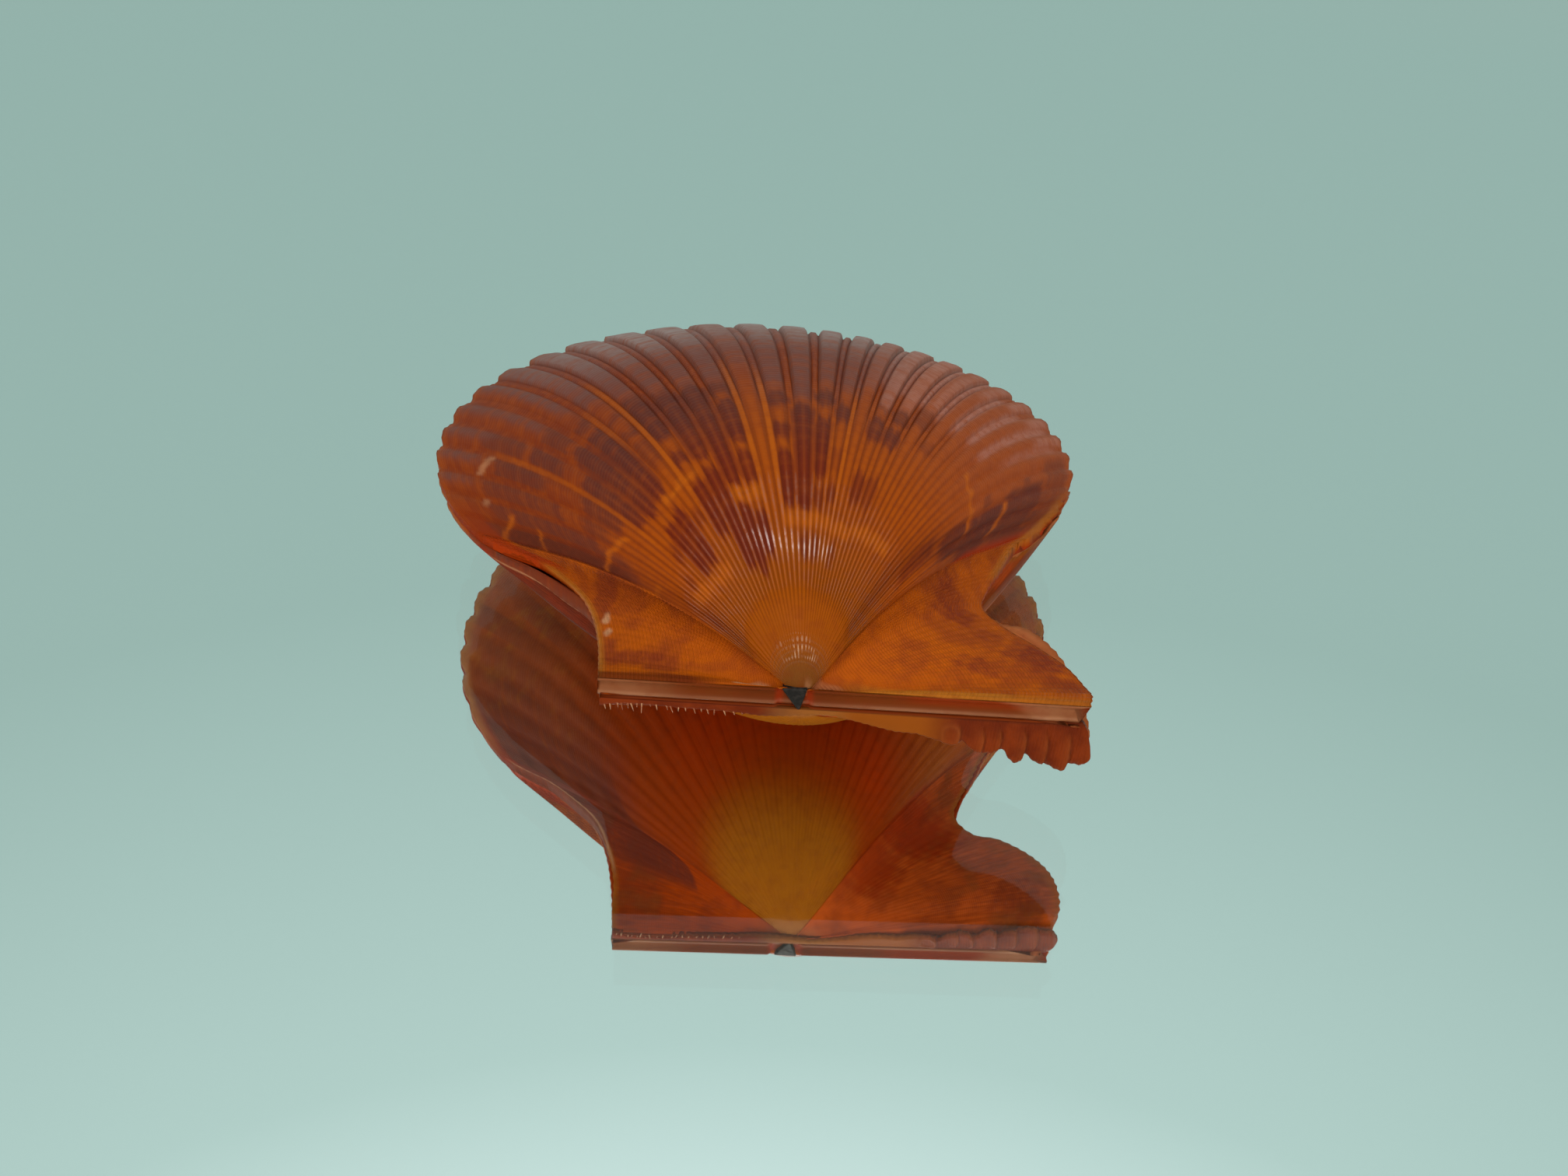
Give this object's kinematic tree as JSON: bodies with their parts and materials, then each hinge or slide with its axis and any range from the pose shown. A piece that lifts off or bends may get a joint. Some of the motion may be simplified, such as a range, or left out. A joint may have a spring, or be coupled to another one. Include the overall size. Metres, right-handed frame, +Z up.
{
  "type": "scallop shell",
  "caption": "Whole scallop shell with both valves closed: fan-shaped ribbed discs, unequal ears along a straight hinge, a byssal notch and a small dark ligament.",
  "frame": {"origin": "middle of the shell's box in plan, on the plane that the shell lies on", "axes": "+Z up with the shell lying on its right valve, +Y from the hinge towards the far margin, +X along the hinge towards the front ear"},
  "size_m": [0.0814, 0.0882, 0.0331],
  "materials": {
    "left_valve": "satin shell, orange ribs mottled with dark wine brown",
    "right_valve": "satin shell, yellow orange at the umbo to red orange at the margin",
    "ligament": "smooth, glossy, almost black"
  },
  "bodies": {
    "root": {"left_valve": "left_valve", "right_valve": "right_valve", "ligament": "ligament"}
  },
  "joints": []
}
